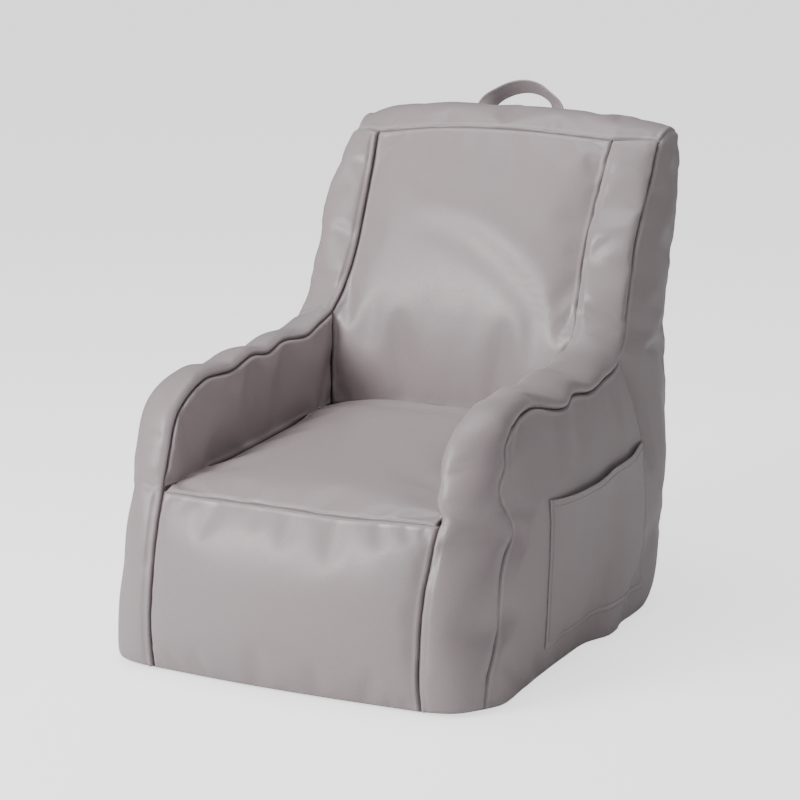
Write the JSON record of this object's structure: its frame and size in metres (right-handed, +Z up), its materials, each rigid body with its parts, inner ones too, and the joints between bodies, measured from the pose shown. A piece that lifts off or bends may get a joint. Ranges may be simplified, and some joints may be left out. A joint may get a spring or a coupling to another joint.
{
  "type": "bean bag chair",
  "caption": "Small upholstered bean bag armchair with a reclined back, padded arms, an open-topped side pocket, a carry strap and a rear zip.",
  "frame": {"origin": "on the floor, on the base panel's underside, midway across the width and near the middle of the depth", "axes": "+Z up, the chair faces -Y, +X is the sitter's left, the side with the pocket"},
  "size_m": [0.59, 0.7956, 0.7613],
  "materials": {
    "cover": "semi-gloss faux leather, mauve grey, fine grain",
    "strap": "folded and stitched strap of the cover material",
    "liner": "thin undyed lining cloth",
    "beads": "loose expanded polystyrene beads",
    "zip_tape": "woven tape dyed to match",
    "zip_chain": "satin nylon coil",
    "slider_metal": "nickel-plated zinc",
    "label": "blank satin label"
  },
  "bodies": {
    "chair": {"front_panel": "cover", "seat_panel": "cover", "inside_back_panel": "cover", "top_panel": "cover", "rear_panel_upper": "cover", "rear_panel_lower": "cover", "base_panel": "cover", "left_arm_band": "cover", "right_arm_band": "cover", "left_inner_arm_panel": "cover", "right_inner_arm_panel": "cover", "left_side_panel": "cover", "right_side_panel": "cover", "side_pocket": "cover", "seat_liner": "liner", "back_liner": "liner", "left_arm_liner": "liner", "right_arm_liner": "liner", "seat_bead_fill": "beads", "back_bead_fill": "beads", "left_arm_bead_fill": "beads", "right_arm_bead_fill": "beads", "left_baffle": "liner", "right_baffle": "liner", "rear_baffle": "liner", "zip_upper_tape": "zip_tape", "zip_lower_tape": "zip_tape", "zip_upper_teeth": "zip_chain", "zip_lower_teeth": "zip_chain", "zip_stop_left": "slider_metal", "zip_stop_right": "slider_metal", "zip_garage": "cover", "care_label": "label"},
    "handle": {"carry_handle": "strap"},
    "slider": {"zip_slider": "slider_metal"}
  },
  "joints": [
    {"name": "handle_hinge", "type": "hinge", "parent": "chair", "child": "handle", "pos_m": [0, 0.3715, 0.7105], "axis": [1, 0, 0], "range_deg": [-105, 80]},
    {"name": "zip_slide", "type": "slide", "parent": "chair", "child": "slider", "axis": [1, 0, 0], "range_m": [0, 0.47]}
  ]
}
